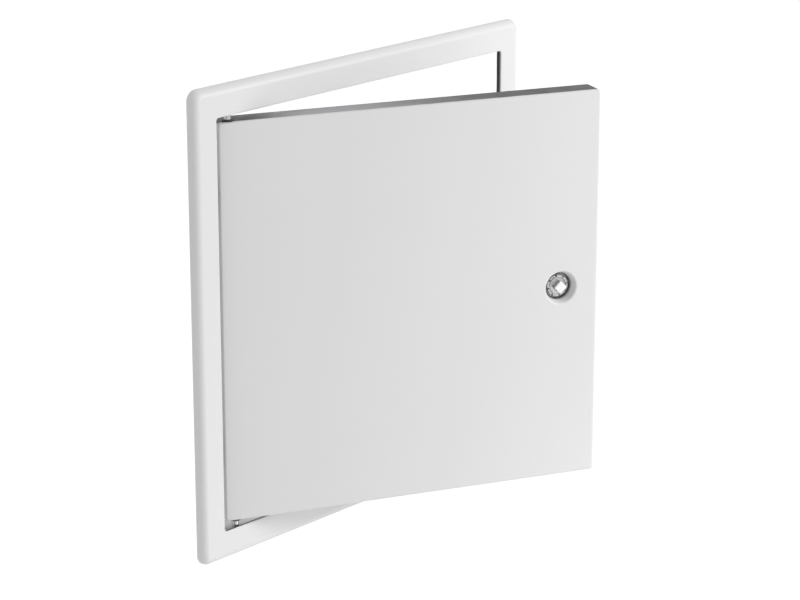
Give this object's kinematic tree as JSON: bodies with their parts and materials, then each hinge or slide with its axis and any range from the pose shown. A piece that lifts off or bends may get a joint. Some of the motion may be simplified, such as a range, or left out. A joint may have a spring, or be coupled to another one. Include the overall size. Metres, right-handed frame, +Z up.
{
  "type": "access panel",
  "caption": "Wall access panel: shallow soft-edged steel rim, folded tray door standing ajar on corner pivot pins, and a dished quarter-turn lock for a square key.",
  "frame": {"origin": "middle of the opening, on the wall plane that the rim's back edge touches", "axes": "+X to the right seen from the front, +Y into the wall, +Z up"},
  "size_m": [0.35, 0.1486, 0.35],
  "materials": {
    "white_coat": "smooth white powder coat, low gloss; bare zinc inside the folds",
    "seal_foam": "black closed-cell foam",
    "zinc_sheet": "zinc-plated sheet with faint spangle",
    "pin_steel": "turned steel, bright zinc",
    "bush_nylon": "black nylon",
    "lock_body": "dull die-cast zinc, dark in the recess",
    "key_core": "bright plated die-cast core"
  },
  "bodies": {
    "frame": {"frame_rim": "white_coat", "seal_top": "seal_foam", "seal_bottom": "seal_foam", "seal_left": "seal_foam", "seal_right": "seal_foam", "hinge_bracket_upper": "zinc_sheet", "hinge_bracket_lower": "zinc_sheet", "hinge_pin_upper": "pin_steel", "hinge_pin_lower": "pin_steel", "strike_bracket": "zinc_sheet", "wall_lug_left_upper": "zinc_sheet", "wall_lug_left_lower": "zinc_sheet", "wall_lug_right_upper": "zinc_sheet", "wall_lug_right_lower": "zinc_sheet"},
    "door": {"door_leaf": "white_coat", "hinge_bush_upper": "bush_nylon", "hinge_bush_lower": "bush_nylon", "lock_housing": "lock_body", "lock_nut": "pin_steel"},
    "lock": {"lock_spindle": "key_core", "cam_tongue": "zinc_sheet", "cam_bolt": "pin_steel"}
  },
  "joints": [
    {"name": "door_swing", "type": "hinge", "parent": "frame", "child": "door", "pos_m": [-0.138, -0.002, 0], "axis": [0, 0, -1], "range_deg": [-26.5, 83.5]},
    {"name": "lock_turn", "type": "hinge", "parent": "door", "child": "lock", "pos_m": [0.08851, -0.12052, 0], "axis": [-0.4462, -0.8949, 0], "range_deg": [-90, 0]}
  ]
}
